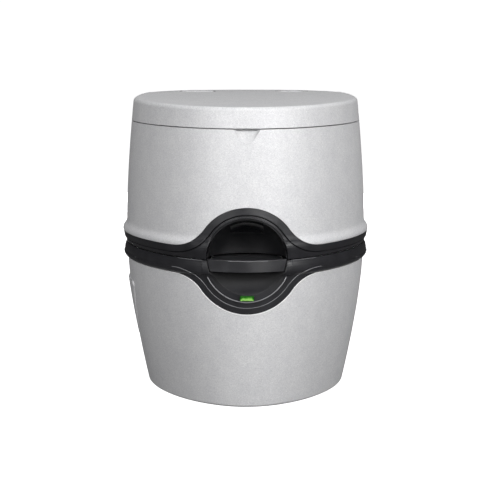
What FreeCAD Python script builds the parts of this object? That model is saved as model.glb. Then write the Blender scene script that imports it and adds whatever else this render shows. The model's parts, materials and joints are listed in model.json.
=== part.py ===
import FreeCAD, Part
import math
import os

import Sketcher
from FreeCAD import Vector

# Portable camp toilet in two halves: a waste tank that stands on the floor, and a
# flush unit (bowl, water tank, seat and lid) that sits on it and lifts off.
# Millimetres, origin at the bottom centre, +Z up, the front faces -Y.

doc = FreeCAD.newDocument("camp_toilet")
sheet = doc.addObject("Spreadsheet::Sheet", "Dims")

DRIVING = {
    # plan of the body: one egg-shaped curve, scaled by its half width at each level
    "half_width": 192.0, "widest_y": 4.5, "front_depth": 229.5, "rear_depth": 220.5,
    "side_pull": 0.47, "front_pull": 0.50, "rear_pull": 0.72,
    # levels
    "tank_top": 212.0, "band_low_edge": 199.2, "under_band": 184.8, "seam": 223.1, "seam_gap": 1.4,
    "band_top_edge": 241.2, "rim_top": 409.8, "lid_bottom": 411.2, "lid_front_top": 441.0,
    "deck_top": 447.6, "deck_front": 117.0,
    # walls and gaps
    "wall": 3.5, "trim_wall": 4.0, "panel_gap": 0.3, "slide_gap": 0.4,
    # hand recess and the arches of the two trim bands, about one centre on the front
    "arch_centre": 226.0, "upper_arch": 73.8, "upper_fillet": 58.4, "dome_edge": 58.5,
    "lower_arch": 81.5, "lower_fillet": 50.0, "dish_edge": 63.5, "dome_depth": 55.0,
    "dish_depth": 24.0, "pocket_back": 186.0,
    # each band is a ribbon along its silver edge, a sunk panel and a rim round the recess
    "upper_ribbon": 10.2, "lower_ribbon": 9.0, "panel_depth": 1.2, "rim_width": 2.4,
    "groove_width": 1.8, "groove_depth": 2.4,
    # where the lower arch runs out into the tank's flank it is a skirt let into the skin
    "skirt_top": 202.0, "skirt_back": -150.0, "skirt_thick": 4.6,
    # outlet, blade valve and its pull handle
    "outlet_y": -20.0, "outlet_bore": 44.0, "blade_half": 52.0, "blade_thick": 3.0,
    "blade_low": 216.4, "frame_half": 66.0,
    "handle_top": 224.6, "handle_low": 207.3, "handle_half": 57.0, "handle_taper": 4.0,
    # hinge of lid and seat
    "hinge_y": 102.0, "hinge_z": 437.0, "pin_radius": 3.0, "pin_fit": 0.06,
    "lid_rear": 113.0, "seat_low": 412.2, "seat_top": 427.0, "knuckle": 5.5,
    # pump at the left and filler at the right of the rear deck
    "service_x": 78.0, "service_y": 152.0, "well_radius": 29.0, "knob_radius": 27.0,
    "knob_top": 448.5, "rod_radius": 5.0, "pump_radius": 19.0, "cap_radius": 26.0, "cap_well": 26.6,
    # rear bay with the swivelling pour spout
    "bay_left": -112.0, "bay_right": 68.0, "bay_front": 128.0, "bay_low": 122.0,
    "bay_high": 192.0, "spout_x": -74.0, "spout_y": 166.0, "spout_z": 160.0,
    "spout_radius": 23.0, "spout_length": 98.0, "spout_cap": 28.0,
    # level indicator and float
    "float_axis_y": -197.0, "float_axis_z": 169.1, "lens_half": 10.1, "lens_low": 165.4,
    "lens_high": 172.8,
    # vent button and coupling slider
    "vent_x": 112.0, "vent_y": 120.0, "slider_x": 30.0,
}
for row, (alias, value) in enumerate(DRIVING.items(), start=1):
    sheet.set("A%d" % row, alias)
    sheet.set("B%d" % row, str(value))
    sheet.setAlias("B%d" % row, alias)
doc.recompute()


def dim(alias):
    return float(sheet.get(alias))


WALL = dim("wall")
GAP = dim("panel_gap")
SEAM_LOW = dim("seam") - dim("seam_gap") / 2
SEAM_HIGH = dim("seam") + dim("seam_gap") / 2
CENTRE_Z = dim("arch_centre")
LOW_EDGE = dim("band_low_edge")
TOP_EDGE = dim("band_top_edge")
RIM = dim("rim_top")
FAR = 600.0
NODES = []


def keep(obj, label):
    """Mark a document object as a finished sub-part that gets a file of its own."""
    obj.Label = label
    NODES.append(obj)
    return obj


def feature(label, shape):
    """A sub-part whose free-form shape is worked out here from the sheet's values."""
    obj = doc.addObject("Part::Feature", label)
    obj.Shape = shape
    return keep(obj, label)


# ---------------------------------------------------------------- body curves
def tank_half_width(z):
    return 184.6 - 31.0 * (1 - z / 200.0) ** 1.45 if z < 200 else 184.6


def casing_half_width(z):
    return 186.0 - 9.3 * ((z - 255.0) / 156.0) ** 1.6 if z > 255 else 186.0


def plan_wire(half, z):
    """The egg-shaped plan at level z, `half` wide each way at its widest line."""
    y0 = dim("widest_y")
    shrink = dim("half_width") - half
    front, rear = dim("front_depth") - shrink, dim("rear_depth") - shrink
    side, nose, back = dim("side_pull"), dim("front_pull"), dim("rear_pull")
    right_front = [(half, y0), (half, y0 - side * front), (nose * half, y0 - front), (0, y0 - front)]
    left_front = [(-x, y) for x, y in reversed(right_front)]
    left_rear = [(-half, y0), (-half, y0 + back * rear), (-back * half, y0 + rear), (0, y0 + rear)]
    right_rear = [(-x, y) for x, y in reversed(left_rear)]
    edges = []
    for poles in (right_front, left_front, left_rear, right_rear):
        curve = Part.BezierCurve()
        curve.setPoles([Vector(x, y, z) for x, y in poles])
        edges.append(curve.toShape())
    return Part.Wire(edges)


def plan_loft(levels, ruled=True):
    """A solid through the plan curve at each (z, half width)."""
    return Part.makeLoft([plan_wire(half, z) for z, half in levels], True, ruled)


def tank_loft(low, high, inset=0.0, steps=6):
    levels = [low + (high - low) * i / steps for i in range(steps + 1)]
    return plan_loft([(z, tank_half_width(z) - inset) for z in levels], False)


def casing_loft(low, high, inset=0.0, steps=6):
    levels = [low + (high - low) * i / steps for i in range(steps + 1)]
    return plan_loft([(z, casing_half_width(z) - inset) for z in levels], False)


def front_y(half):
    return dim("widest_y") - dim("front_depth") + dim("half_width") - half


# ---------------------------------------------------------------- small shapes
def block(x0, x1, y0, y1, z0, z1):
    return Part.makeBox(x1 - x0, y1 - y0, z1 - z0, Vector(x0, y0, z0))


def rod(x, y, z, radius, length, axis=(0, 0, 1)):
    return Part.makeCylinder(radius, length, Vector(x, y, z), Vector(*axis))


def tube(x, y, z, outer, inner, length, axis=(0, 0, 1)):
    return rod(x, y, z, outer, length, axis).cut(rod(x, y, z, inner, length, axis))


def ellipse_wire(cx, cy, z, half_x, half_y):
    long_y = half_y >= half_x
    curve = Part.Ellipse(Vector(cx, cy, z), max(half_x, half_y), min(half_x, half_y))
    edge = curve.toShape()
    if long_y:
        edge.rotate(Vector(cx, cy, z), Vector(0, 0, 1), 90)
    return Part.Wire([edge])


def ellipse_loft(levels, ruled=False):
    """A solid through ellipses: (z, centre y, half x, half y) for each level."""
    wires = [ellipse_wire(0, y, z, half_x, half_y) for z, y, half_x, half_y in levels]
    return Part.makeLoft(wires, True, ruled)


def on_circle(radius, degrees, centre=(0.0, 0.0)):
    angle = math.radians(degrees)
    return (centre[0] + radius * math.cos(angle), centre[1] + radius * math.sin(angle))


def arch_region(radius, fillet, flat, upward):
    """Everything on the seam side of an arched edge line.

    The line is level at `flat`, and at the front it runs round an arch of `radius`
    about the recess centre, with a tangent fillet at each foot. `upward` is +1 for the
    line above the seam and -1 for the one below it.
    """
    rise = abs(flat - CENTRE_Z)
    foot_x = math.sqrt((radius + fillet) ** 2 - (rise + fillet) ** 2)
    foot = Vector(foot_x, 0, CENTRE_Z + upward * (rise + fillet))
    axis = Vector(0, 0, CENTRE_Z)
    touch = axis + (foot - axis) * (radius / (radius + fillet))
    base = Vector(foot_x, 0, flat)
    middle = (touch - foot).normalize() + (base - foot).normalize()
    bend = foot + middle.normalize() * fillet
    apex = Vector(0, 0, CENTRE_Z + upward * radius)

    def mirrored(point):
        return Vector(-point.x, 0, point.z)

    floor_z = CENTRE_Z - upward * FAR
    far_flat = Vector(FAR, 0, flat)
    far_low = Vector(FAR, 0, floor_z)
    edges = [
        Part.LineSegment(far_flat, base).toShape(),
        Part.Arc(base, bend, touch).toShape(),
        Part.Arc(touch, apex, mirrored(touch)).toShape(),
        Part.Arc(mirrored(touch), mirrored(bend), mirrored(base)).toShape(),
        Part.LineSegment(mirrored(base), mirrored(far_flat)).toShape(),
        Part.LineSegment(mirrored(far_flat), mirrored(far_low)).toShape(),
        Part.LineSegment(mirrored(far_low), far_low).toShape(),
        Part.LineSegment(far_low, far_flat).toShape(),
    ]
    face = Part.Face(Part.Wire(edges))
    face.translate(Vector(0, -FAR, 0))
    front = face.extrude(Vector(0, FAR - 100, 0))
    rear = block(-FAR, FAR, -100, FAR, min(flat, floor_z), max(flat, floor_z))
    return front.fuse(rear)


def sunk_panel(outer, radius, fillet, flat, upward, rim):
    """The skin that is taken off a band between its ribbon and its raised rim.

    The ribbon's inner edge line has `radius`, `fillet` and `flat`; the rim is a ring
    round the recess centre out to the radius `rim`.
    """
    depth = dim("panel_depth")
    core = [(z, half - depth) for z, half in outer]
    core = [(core[0][0] - 2, core[0][1])] + core + [(core[-1][0] + 2, core[-1][1])]
    skin = plan_loft(outer).cut(plan_loft(core))
    skin = skin.common(arch_region(radius, fillet, flat, upward))
    return skin.cut(rod(0, -FAR, CENTRE_Z, rim, FAR, (0, 1, 0)))


def edge_groove(outer, radius, fillet, flat, upward):
    """A narrow groove in a band, just inside the line with `radius`, `fillet` and `flat`."""
    width, depth = dim("groove_width"), dim("groove_depth")
    core = [(z, half - depth) for z, half in outer]
    core = [(core[0][0] - 2, core[0][1])] + core + [(core[-1][0] + 2, core[-1][1])]
    skin = plan_loft(outer).cut(plan_loft(core))
    skin = skin.common(arch_region(radius, fillet, flat, upward))
    return skin.cut(arch_region(radius - width, fillet + width, flat - upward * width, upward))


def origin_plane(body, role):
    return next(item for item in body.Origin.OriginFeatures if item.Role == role)


def sketch_on(body, name, role="XY_Plane", offset=None):
    """A sketch on one of the body's own origin planes; `offset` is a sheet expression."""
    sketch = body.newObject("Sketcher::SketchObject", name)
    sketch.AttachmentSupport = (origin_plane(body, role), [""])
    sketch.MapMode = "FlatFace"
    if offset:
        sketch.setExpression("AttachmentOffset.Base.z", offset)
    return sketch


def closed_lines(sketch, points):
    for start, end in zip(points, points[1:] + points[:1]):
        sketch.addGeometry(Part.LineSegment(Vector(*start, 0), Vector(*end, 0)), False)


def circle(sketch, x, y, radius, expression=None):
    """A circle held at its centre; its radius can follow the sheet."""
    index = sketch.addGeometry(
        Part.Circle(Vector(x, y, 0), Vector(0, 0, 1), radius), False)
    held = sketch.addConstraint(Sketcher.Constraint("Radius", index, radius))
    if expression:
        sketch.setExpression("Constraints[%d]" % held, expression)
    return index


def pad(body, name, sketch, length):
    feature_pad = body.newObject("PartDesign::Pad", name)
    feature_pad.Profile = sketch
    feature_pad.setExpression("Length", length)
    return feature_pad


def pocket(body, name, sketch, length, upwards=True):
    """A pocket that cuts towards +normal when `upwards`."""
    cut = body.newObject("PartDesign::Pocket", name)
    cut.Profile = sketch
    cut.Reversed = upwards
    cut.setExpression("Length", length)
    return cut


# ---------------------------------------------------------------- waste tank
def band_levels(pairs, inset=0.0):
    return [(z, half - inset) for z, half in pairs]


LOWER_BAND = [(z, tank_half_width(z) - 0.6) for z in (138, 148, 158, 168, 178, 188)] + [
    (196, 184.2), (199.2, 184.9), (200.6, 186.6), (202.2, 188.6), (204.2, 190.1),
    (206.6, 190.8), (210, 191.0), (214, 190.8), (217.4, 190.2), (220, 189.2), (SEAM_LOW, 187.8),
]
UPPER_BAND = [
    (SEAM_HIGH, 187.6), (226, 188.3), (229, 189.1), (233, 190.1), (237, 190.9),
    (241, 191.2), (244, 190.9), (246.6, 190.2), (249, 189.0), (251.4, 187.4), (254, 186.1),
    (258, 185.6)] + [(z, casing_half_width(z) - 0.5) for z in (266, 276, 286, 296, 306)]
LOWER_REGION = arch_region(dim("lower_arch") - GAP, dim("lower_fillet") + GAP, LOW_EDGE + GAP, -1)
UPPER_REGION = arch_region(dim("upper_arch") - GAP, dim("upper_fillet") + GAP, TOP_EDGE - GAP, 1)


def handle_gap(extra):
    """The opening in the bands round the pull handle, wider by `extra`."""
    top, low = dim("handle_half") + extra, dim("handle_half") - dim("handle_taper") + extra
    z_top, z_low = dim("handle_top"), dim("handle_low") - extra
    points = [(-low, z_low), (low, z_low), (top, z_top + extra), (-top, z_top + extra)]
    wire = Part.makePolygon([Vector(x, -FAR, z) for x, z in points + points[:1]])
    return Part.Face(wire).extrude(Vector(0, FAR - dim("pocket_back") + 6, 0))


def tank_pocket(margin):
    """Room behind the lower band's arch for the dish, handle and level indicator."""
    region = arch_region(dim("lower_arch") + margin, dim("lower_fillet") - margin,
                         LOW_EDGE - margin, -1)
    deep = block(-FAR, FAR, -FAR, -dim("pocket_back") + margin, 0, FAR)
    inset = dim("skirt_thick") + 0.3 + margin
    core = tank_loft(0, 200, inset).fuse(plan_loft([(200, 184.6 - inset), (210, 184.6 - inset)]))
    skin = block(-FAR, FAR, -FAR, dim("skirt_back") + 1 + margin, 0, dim("skirt_top") + 0.3 + margin)
    return region.common(deep.fuse(skin.cut(core)))


def spout_bay(margin):
    return block(dim("bay_left") - margin, dim("bay_right") + margin,
                 dim("bay_front") - margin, FAR,
                 dim("bay_low") - margin, dim("bay_high") + margin)


outlet = (0, dim("outlet_y"))
outer = tank_loft(0, 200).fuse(plan_loft([(200, 184.6), (dim("tank_top"), 184.6)]))
outer = outer.removeSplitter()
base_edges = [edge for edge in outer.Edges if edge.BoundBox.ZMax < 0.1]
outer = outer.makeFillet(5.0, base_edges)
outer = outer.cut(tank_pocket(0)).cut(spout_bay(0))
hollow = tank_loft(WALL, 200 - WALL, WALL).fuse(
    plan_loft([(200 - WALL, 184.2 - WALL), (dim("tank_top") - WALL, 184.2 - WALL)]))
hollow = hollow.cut(tank_pocket(WALL)).cut(spout_bay(WALL))
hollow = hollow.cut(block(dim("vent_x") - 14, dim("vent_x") + 14, dim("vent_y") - 14,
                          dim("vent_y") + 14, 190, FAR))
level_slot = block(-4, 4, -190, -170, 161, 182)
shell = outer.cut(hollow)
shell = shell.cut(rod(*outlet, 200, dim("outlet_bore"), 20)).cut(level_slot)
shell = shell.cut(rod(dim("vent_x"), dim("vent_y"), 180, 8.5, 40))
shell = shell.cut(rod(dim("spout_x"), dim("spout_y"), dim("bay_low") - 20, 17.0, 30))
underside = tank_loft(0, 2.5, 24.0, 1)
shell = shell.cut(underside)
feature("waste_tank_shell", shell)

# side grip: a raised wedge on the left flank, deepest along its upper edge
grip_top, grip_low, grip_front, grip_rear = 165.0, 78.0, -58.0, 60.0
grip_levels = [grip_low + (grip_top - grip_low) * i / 4 for i in range(5)]
grip_outer = plan_loft([
    (z, tank_half_width(z) + 0.5 + 2.0 * (z - grip_low) / (grip_top - grip_low))
    for z in grip_levels], False)
grip_points = [(grip_front + 5, grip_top + 1), (grip_rear - 5, grip_top + 1),
               (grip_rear, grip_top - 6), (grip_rear - 24, grip_low - 1),
               (grip_front + 24, grip_low - 1), (grip_front, grip_top - 6)]
grip_wire = Part.makePolygon([Vector(-FAR, y, z) for y, z in grip_points + grip_points[:1]])
grip_block = Part.Face(grip_wire).extrude(Vector(FAR, 0, 0))
feature("side_grip", grip_outer.cut(tank_loft(0, 200)).common(grip_block))

# lower trim band: a ring round the tank's shoulder, an arch that dips at the front,
# and a scooped dish inside the arch for the fingers
SURFACE_Y = front_y(190.0)


def scoop():
    """The finger scoop as a loft from the front surface inwards."""
    stations = [(SURFACE_Y + 4, -1.4, -7.5), (SURFACE_Y + 15, -6.0, -18.5),
                (SURFACE_Y + dim("dish_depth"), -15.0, -31.0)]
    wires = []
    for y, less_x, less_z in stations:
        half_x = dim("dish_edge") + less_x
        half_z = dim("dish_edge") + less_z
        curve = Part.Ellipse(Vector(0, 0, 0), half_x, half_z)
        wire = Part.Wire([curve.toShape()])
        wire.rotate(Vector(0, 0, 0), Vector(1, 0, 0), 90)
        wire.translate(Vector(0, y, CENTRE_Z))
        wires.append(wire)
    mouth = Part.Wire([Part.Circle(Vector(0, 0, 0), Vector(0, 0, 1),
                                   dim("dish_edge") - 0.7).toShape()])
    mouth.rotate(Vector(0, 0, 0), Vector(1, 0, 0), 90)
    mouth.translate(Vector(0, SURFACE_Y - 8, CENTRE_Z))
    return Part.makeLoft([mouth] + wires, True, False)


lower_outer = plan_loft(LOWER_BAND)
shoulder = plan_loft([(130, dim("under_band")), (SEAM_LOW + 1, dim("under_band"))])
ring = lower_outer.cut(shoulder).common(LOWER_REGION)
arch = lower_outer.cut(plan_loft(band_levels(LOWER_BAND, dim("trim_wall"))))
skirt = block(-FAR, FAR, -FAR, dim("skirt_back"), 0, dim("skirt_top"))
arch = arch.common(LOWER_REGION)
arch = arch.common(block(-FAR, FAR, -FAR, -dim("pocket_back") - 1, 0, FAR).fuse(skirt))
dish_plug = rod(0, -FAR, CENTRE_Z, dim("dish_edge"), FAR - 150, (0, 1, 0))
dish_low = block(-FAR, FAR, -FAR, -197.5, 0, dim("handle_low") - 1.0)
dish = lower_outer.common(dish_plug).common(dish_low)
band = ring.fuse(arch).cut(dish_plug.common(block(-FAR, FAR, -FAR, -150, 0, dim("handle_low") - 1)))
band = band.fuse(dish).cut(scoop()).cut(handle_gap(0.8)).cut(block(-17, 17, -205.4, -150, 160, 184))
ribbon = dim("lower_ribbon")
band = band.cut(sunk_panel(LOWER_BAND, dim("lower_arch") - ribbon, dim("lower_fillet") + ribbon,
                           LOW_EDGE + ribbon, -1, dim("dish_edge") + dim("rim_width")))
lens_hole = block(-dim("lens_half"), dim("lens_half"), -230, -190, dim("lens_low"), dim("lens_high"))
slide_x = dim("slider_x")
band = band.cut(lens_hole).cut(block(slide_x - 13, slide_x + 25, 190, 240, 211.0, 230))
feature("lower_trim_band", band)

# level indicator: lens in the dish, a drum behind it that is green or red
lens = lens_hole.common(block(-20, 20, SURFACE_Y + 5, SURFACE_Y + 13.5, 0, 400))
feature("level_window", lens)
axis_y, axis_z = dim("float_axis_y"), dim("float_axis_z")
bracket = block(-16, 16, -188.5, -186.0, 163, 183).cut(block(-5, 5, -190, -180, 164, 182))
for side in (-1, 1):
    ear = block(13.0, 15.5, axis_y - 3.5, -186.0, axis_z - 4, axis_z + 4)
    ear = ear.cut(rod(0, axis_y, axis_z, 1.5, 30, (1, 0, 0)))
    bracket = bracket.fuse(ear if side > 0 else ear.mirror(Vector(0, 0, 0), Vector(1, 0, 0)))
feature("level_bracket", bracket)
feature("level_pin", rod(-15.5, axis_y, axis_z, 1.5, 31, (1, 0, 0)))
drum = rod(-11, axis_y, axis_z, 7.5, 22, (1, 0, 0))
arm = drum.fuse(block(-2.5, 2.5, axis_y, -118, axis_z - 2, axis_z + 2))
feature("float_arm", arm.cut(rod(-20, axis_y, axis_z, 1.56, 40, (1, 0, 0))))
level_float = block(-24, 24, -118, -78, axis_z - 13, axis_z + 13)
feature("level_float", level_float.makeFillet(5, level_float.Edges))

# ---------------------------------------------------------------- blade valve
frame_half = dim("frame_half")
blade_low, blade_top = dim("blade_low"), dim("blade_low") + dim("blade_thick")
frame_rear, frame_front = 54.0, -150.0
screw_spots = [(x, y) for x in (-frame_half + 6, frame_half - 6) for y in (-138, -50, 44)]


def frame_plate(label, low, height, bore):
    """A flat plate round the outlet with its screw holes, as a padded sketch."""
    body = doc.addObject("PartDesign::Body", label)
    sketch = sketch_on(body, label + "_plan", offset=low)
    closed_lines(sketch, [(-frame_half, frame_front), (frame_half, frame_front),
                          (frame_half, frame_rear), (-frame_half, frame_rear)])
    circle(sketch, *outlet, dim("outlet_bore"), bore)
    for x, y in screw_spots:
        circle(sketch, x, y, 2.1)
    pad(body, label + "_pad", sketch, height)
    doc.recompute()
    return body


base_frame = frame_plate("valve_base_frame", "Dims.tank_top", "Dims.blade_low - Dims.tank_top - 0.4",
                         "Dims.outlet_bore")
keep(base_frame, "valve_base_frame")
cover_frame = frame_plate("valve_cover_frame", "Dims.blade_low - 0.4", "6.6", "Dims.outlet_bore")
slot_sketch = sketch_on(cover_frame, "blade_slot", offset="Dims.blade_low - 0.4")
slot_half = dim("blade_half") + dim("slide_gap")
closed_lines(slot_sketch, [(-slot_half, frame_front - 1), (slot_half, frame_front - 1),
                           (slot_half, 42), (-slot_half, 42)])
pocket(cover_frame, "blade_slot_cut", slot_sketch, "Dims.blade_thick + 0.8")
seat_sketch = sketch_on(cover_frame, "seal_seat", offset="Dims.blade_low + 4.2")
circle(seat_sketch, *outlet, 49.0, "Dims.outlet_bore + 5")
pocket(cover_frame, "seal_seat_cut", seat_sketch, "5")
keep(cover_frame, "valve_cover_frame")
feature("valve_lip_seal", tube(*outlet, blade_low + 4.2, 48.9, 44.2, 2.8))

screw_holes = [rod(x, y, 200, 1.9, 20) for x, y in screw_spots]
shell_node = NODES[0]
shell_node.Shape = shell_node.Shape.cut(Part.makeCompound(screw_holes))


def screw(x, y, z, length, radius=1.9, head=3.4, downwards=True):
    """A pan-head screw with its head's underside at z."""
    way = -1 if downwards else 1
    shank = rod(x, y, z, radius, length, (0, 0, way))
    cap = rod(x, y, z, head, 2.0, (0, 0, -way))
    cross = block(x - 2, x + 2, y - 0.5, y + 0.5, z + (1.0 if downwards else -2.1),
                  z + (2.1 if downwards else -1.0))
    return shank.fuse(cap).cut(cross)


feature("valve_screws", Part.makeCompound([screw(x, y, 222.6, 15) for x, y in screw_spots]))

blade = doc.addObject("PartDesign::Body", "valve_blade")
blade_sketch = sketch_on(blade, "blade_plan", offset="Dims.blade_low")
half = dim("blade_half")
nose_y, root_y = -200.0, dim("outlet_y")
blade_sketch.addGeometry(Part.LineSegment(Vector(-half, nose_y, 0), Vector(half, nose_y, 0)), False)
blade_sketch.addGeometry(Part.LineSegment(Vector(half, nose_y, 0), Vector(half, root_y, 0)), False)
blade_sketch.addGeometry(Part.Arc(Vector(half, root_y, 0), Vector(0, root_y + half, 0),
                                  Vector(-half, root_y, 0)), False)
blade_sketch.addGeometry(Part.LineSegment(Vector(-half, root_y, 0), Vector(-half, nose_y, 0)), False)
handle_spots = [(-30, -190), (30, -190)]
for x, y in handle_spots:
    circle(blade_sketch, x, y, 1.4)
pad(blade, "blade_pad", blade_sketch, "Dims.blade_thick")
keep(blade, "valve_blade")

# pull handle: a curved bar that carries on the line of the bands, with a ledge behind it
handle_curve = [(dim("handle_low") - 8, 188.6), (dim("handle_top") + 8, 188.6)]
handle_body = plan_loft(handle_curve)
bar = handle_body.cut(plan_loft([(z, half_wide - 7) for z, half_wide in handle_curve]))
bar = bar.common(handle_gap(0)).common(block(-FAR, FAR, -FAR, 0, 0, dim("handle_top")))
ledge = block(-50, 50, -235, -177, dim("handle_top") - 3, dim("handle_top"))
ledge = ledge.makeFillet(16, [edge for edge in ledge.Edges
                              if edge.BoundBox.YMin > -178 and edge.BoundBox.ZLength > 2])
ledge = ledge.common(plan_loft([(z, half_wide - 1) for z, half_wide in handle_curve]))
handle = bar.fuse(ledge)
for x in (-40, -20, 0, 20, 40):
    handle = handle.fuse(block(x - 1.2, x + 1.2, -213 + abs(x) / 8, -186, 209.5, dim("handle_top") - 2))
handle = handle.fuse(block(-34, 34, -199, -181, blade_top, dim("handle_top") - 2))
handle = handle.cut(block(-half - 1, half + 1, -200.2, -150, blade_low - 0.1, blade_top))
handle = handle.cut(Part.makeCompound([rod(x, y, blade_top - 1, 1.4, 4) for x, y in handle_spots]))
feature("valve_handle", handle)
feature("handle_screws", Part.makeCompound(
    [screw(x, y, blade_low, 5.0, 1.4, 2.8, False) for x, y in handle_spots]))

# ---------------------------------------------------------------- vent and spout
vent = (dim("vent_x"), dim("vent_y"))
vent_body = tube(*vent, 194, 8.4, 5.3, 18).fuse(tube(*vent, 212, 11.5, 5.3, 1.8))
feature("vent_valve_body", vent_body.fuse(tube(*vent, 194, 5.4, 2.2, 2)))
button = rod(*vent, 211, 5.0, 9.5).fuse(rod(*vent, 186, 1.8, 26)).fuse(rod(*vent, 186, 6.5, 3))
feature("vent_button", button)
coil = Part.makeHelix(2.6, 13.0, 3.4)
coil_ring = Part.Wire([Part.Circle(Vector(3.4, 0, 0), Vector(0, 1, 0), 0.5).toShape()])
spring = Part.Wire(coil.Edges).makePipeShell([coil_ring], True, True)
feature("vent_spring", spring.translated(Vector(vent[0], vent[1], 196.8)))

spout_x, spout_y, spout_z = dim("spout_x"), dim("spout_y"), dim("spout_z")
spout_end = spout_x + dim("spout_length")
feature("spout_ring", tube(spout_x, spout_y, dim("bay_low"), 30, dim("spout_radius") + dim("pin_fit"), 6))


def elbow(radius, low, end):
    return rod(spout_x, spout_y, low, radius, spout_z - low).fuse(
        Part.makeSphere(radius, Vector(spout_x, spout_y, spout_z))).fuse(
        rod(spout_x, spout_y, spout_z, radius, end - spout_x, (1, 0, 0)))


spout = elbow(dim("spout_radius"), dim("bay_low") + 0.4, spout_end)
spout = spout.cut(elbow(dim("spout_radius") - 3, dim("bay_low") - 1, spout_end + 1))
feature("pour_spout", spout)
cap_start = spout_end - 17
cap = rod(cap_start, spout_y, spout_z, dim("spout_cap"), 24, (1, 0, 0))
cap = cap.cut(rod(cap_start - 1, spout_y, spout_z, dim("spout_radius") + 0.4, 20.4, (1, 0, 0)))
for i in range(18):
    y, z = on_circle(dim("spout_cap") + 0.6, i * 20, (spout_y, spout_z))
    cap = cap.cut(rod(cap_start + 4, y, z, 1.6, 24, (1, 0, 0)))
feature("spout_cap", cap)
feature("spout_cap_seal", tube(spout_end + 0.4, spout_y, spout_z, 23.0, 17.0, 2.0, (1, 0, 0)))

# ---------------------------------------------------------------- coupling slider
slider = block(slide_x - 12, slide_x + 12, 194, 212, 212.3, 216)
slider = slider.fuse(block(slide_x - 10, slide_x + 10, 211, 221.5, 212.3, 221.4))
for x in (-6, -2, 2, 6):
    slider = slider.cut(block(slide_x + x - 0.7, slide_x + x + 0.7, 220.3, 223, 213.5, 220.4))
slider = slider.fuse(block(slide_x - 4, slide_x + 2, 198, 204, 216, 235.4))
slider = slider.fuse(block(slide_x - 4, slide_x + 10, 198, 204, 232.4, 235.4))
feature("coupling_slider", slider)
guide = block(slide_x - 26, slide_x + 38, 190, 193.6, 212, 218)
guide = guide.fuse(block(slide_x - 26, slide_x - 13.5, 190, 208, 212, 214))
feature("slider_guide", guide.fuse(block(slide_x + 25.5, slide_x + 38, 190, 208, 212, 214)))

# ---------------------------------------------------------------- flush unit
BOWL = [(233, -20, 49, 49), (240, -20, 50, 50), (262, -26, 61, 65), (300, -34, 83, 94),
        (350, -40, 102, 124), (390, -42, 110, 136), (RIM, -42, 112, 138)]
DOME_Y = -206.0


def dome(grow):
    """The hand recess: half an egg let into the front, turned about a front-to-back axis."""
    radius = dim("dome_edge") - 2.6 + grow
    depth = dim("dome_depth") - 10 + grow
    oval = Part.Ellipse(Vector(0, DOME_Y, CENTRE_Z), radius, depth)
    tip = Vector(0, DOME_Y + depth, CENTRE_Z)
    mouth = Vector(radius, -FAR, CENTRE_Z)
    edges = [
        Part.ArcOfEllipse(oval, 0, math.pi / 2).toShape(),
        Part.LineSegment(tip, Vector(0, -FAR, CENTRE_Z)).toShape(),
        Part.LineSegment(Vector(0, -FAR, CENTRE_Z), mouth).toShape(),
        Part.LineSegment(mouth, Vector(radius, DOME_Y, CENTRE_Z)).toShape(),
    ]
    profile = Part.Face(Part.Wire(Part.__sortEdges__(edges)))
    profile.rotate(Vector(0, 0, CENTRE_Z), Vector(0, 1, 0), 90)
    return profile.revolve(Vector(0, 0, CENTRE_Z), Vector(0, 1, 0), 360)


LIP = [(TOP_EDGE, 191.6), (243, 192.0), (245.2, 191.8), (247.2, 191.2), (249, 190.1),
       (250.6, 188.8), (252.2, 187.6), (254, 186.7), (256, 186.2), (258, 186.0)]
deck_top, deck_front = dim("deck_top"), dim("deck_front")
body = casing_loft(258, deck_top)
body = body.makeFillet(5.0, [edge for edge in body.Edges if edge.BoundBox.ZMin > deck_top - 0.1])
body = body.fuse(plan_loft(LIP)).removeSplitter()
body = body.cut(block(-FAR, FAR, -FAR, deck_front, RIM, FAR))
water = plan_loft([(TOP_EDGE - 4, 182.5), (255, 182.5)]).fuse(
    casing_loft(255, deck_top - WALL, WALL))
water = water.cut(block(-FAR, FAR, -FAR, deck_front + WALL, RIM - 3.8, FAR))
notch_boss = casing_loft(382, RIM, 1.0, 2).common(block(-27, 27, -FAR, -194, 382, RIM))
casing = body.cut(water).fuse(notch_boss)
notch_levels = [(RIM - 19.0, 178.6, 4.5, 0.6), (RIM - 17.4, 178.5, 7.5, 2.2),
                (RIM - 14, 178.2, 10.5, 4.4), (RIM + 1, 176.7, 20.5, 10.4)]
notch = Part.makeLoft([ellipse_wire(0, front_y(half) - 0.4, z, half_x, half_y)
                       for z, half, half_x, half_y in notch_levels], True, True)
finger_slot = block(-15, 15, -FAR, -197.6, RIM - 2.4, FAR)
casing = casing.cut(notch.fuse(finger_slot))
band_opening = arch_region(dim("upper_arch"), dim("upper_fillet"), TOP_EDGE, 1)
casing = casing.cut(UPPER_REGION.fuse(band_opening))
casing = casing.cut(ellipse_loft([(RIM - 10, -42, 112.2, 138.2), (RIM + 10, -42, 112.2, 138.2)]))
service = [(-dim("service_x"), dim("service_y")), (dim("service_x"), dim("service_y"))]
for (x, y), well in zip(service, (dim("well_radius"), dim("cap_well"))):
    casing = casing.cut(rod(x, y, deck_top - 10, well + 1.6, 20))
feature("upper_casing", casing)

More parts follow.
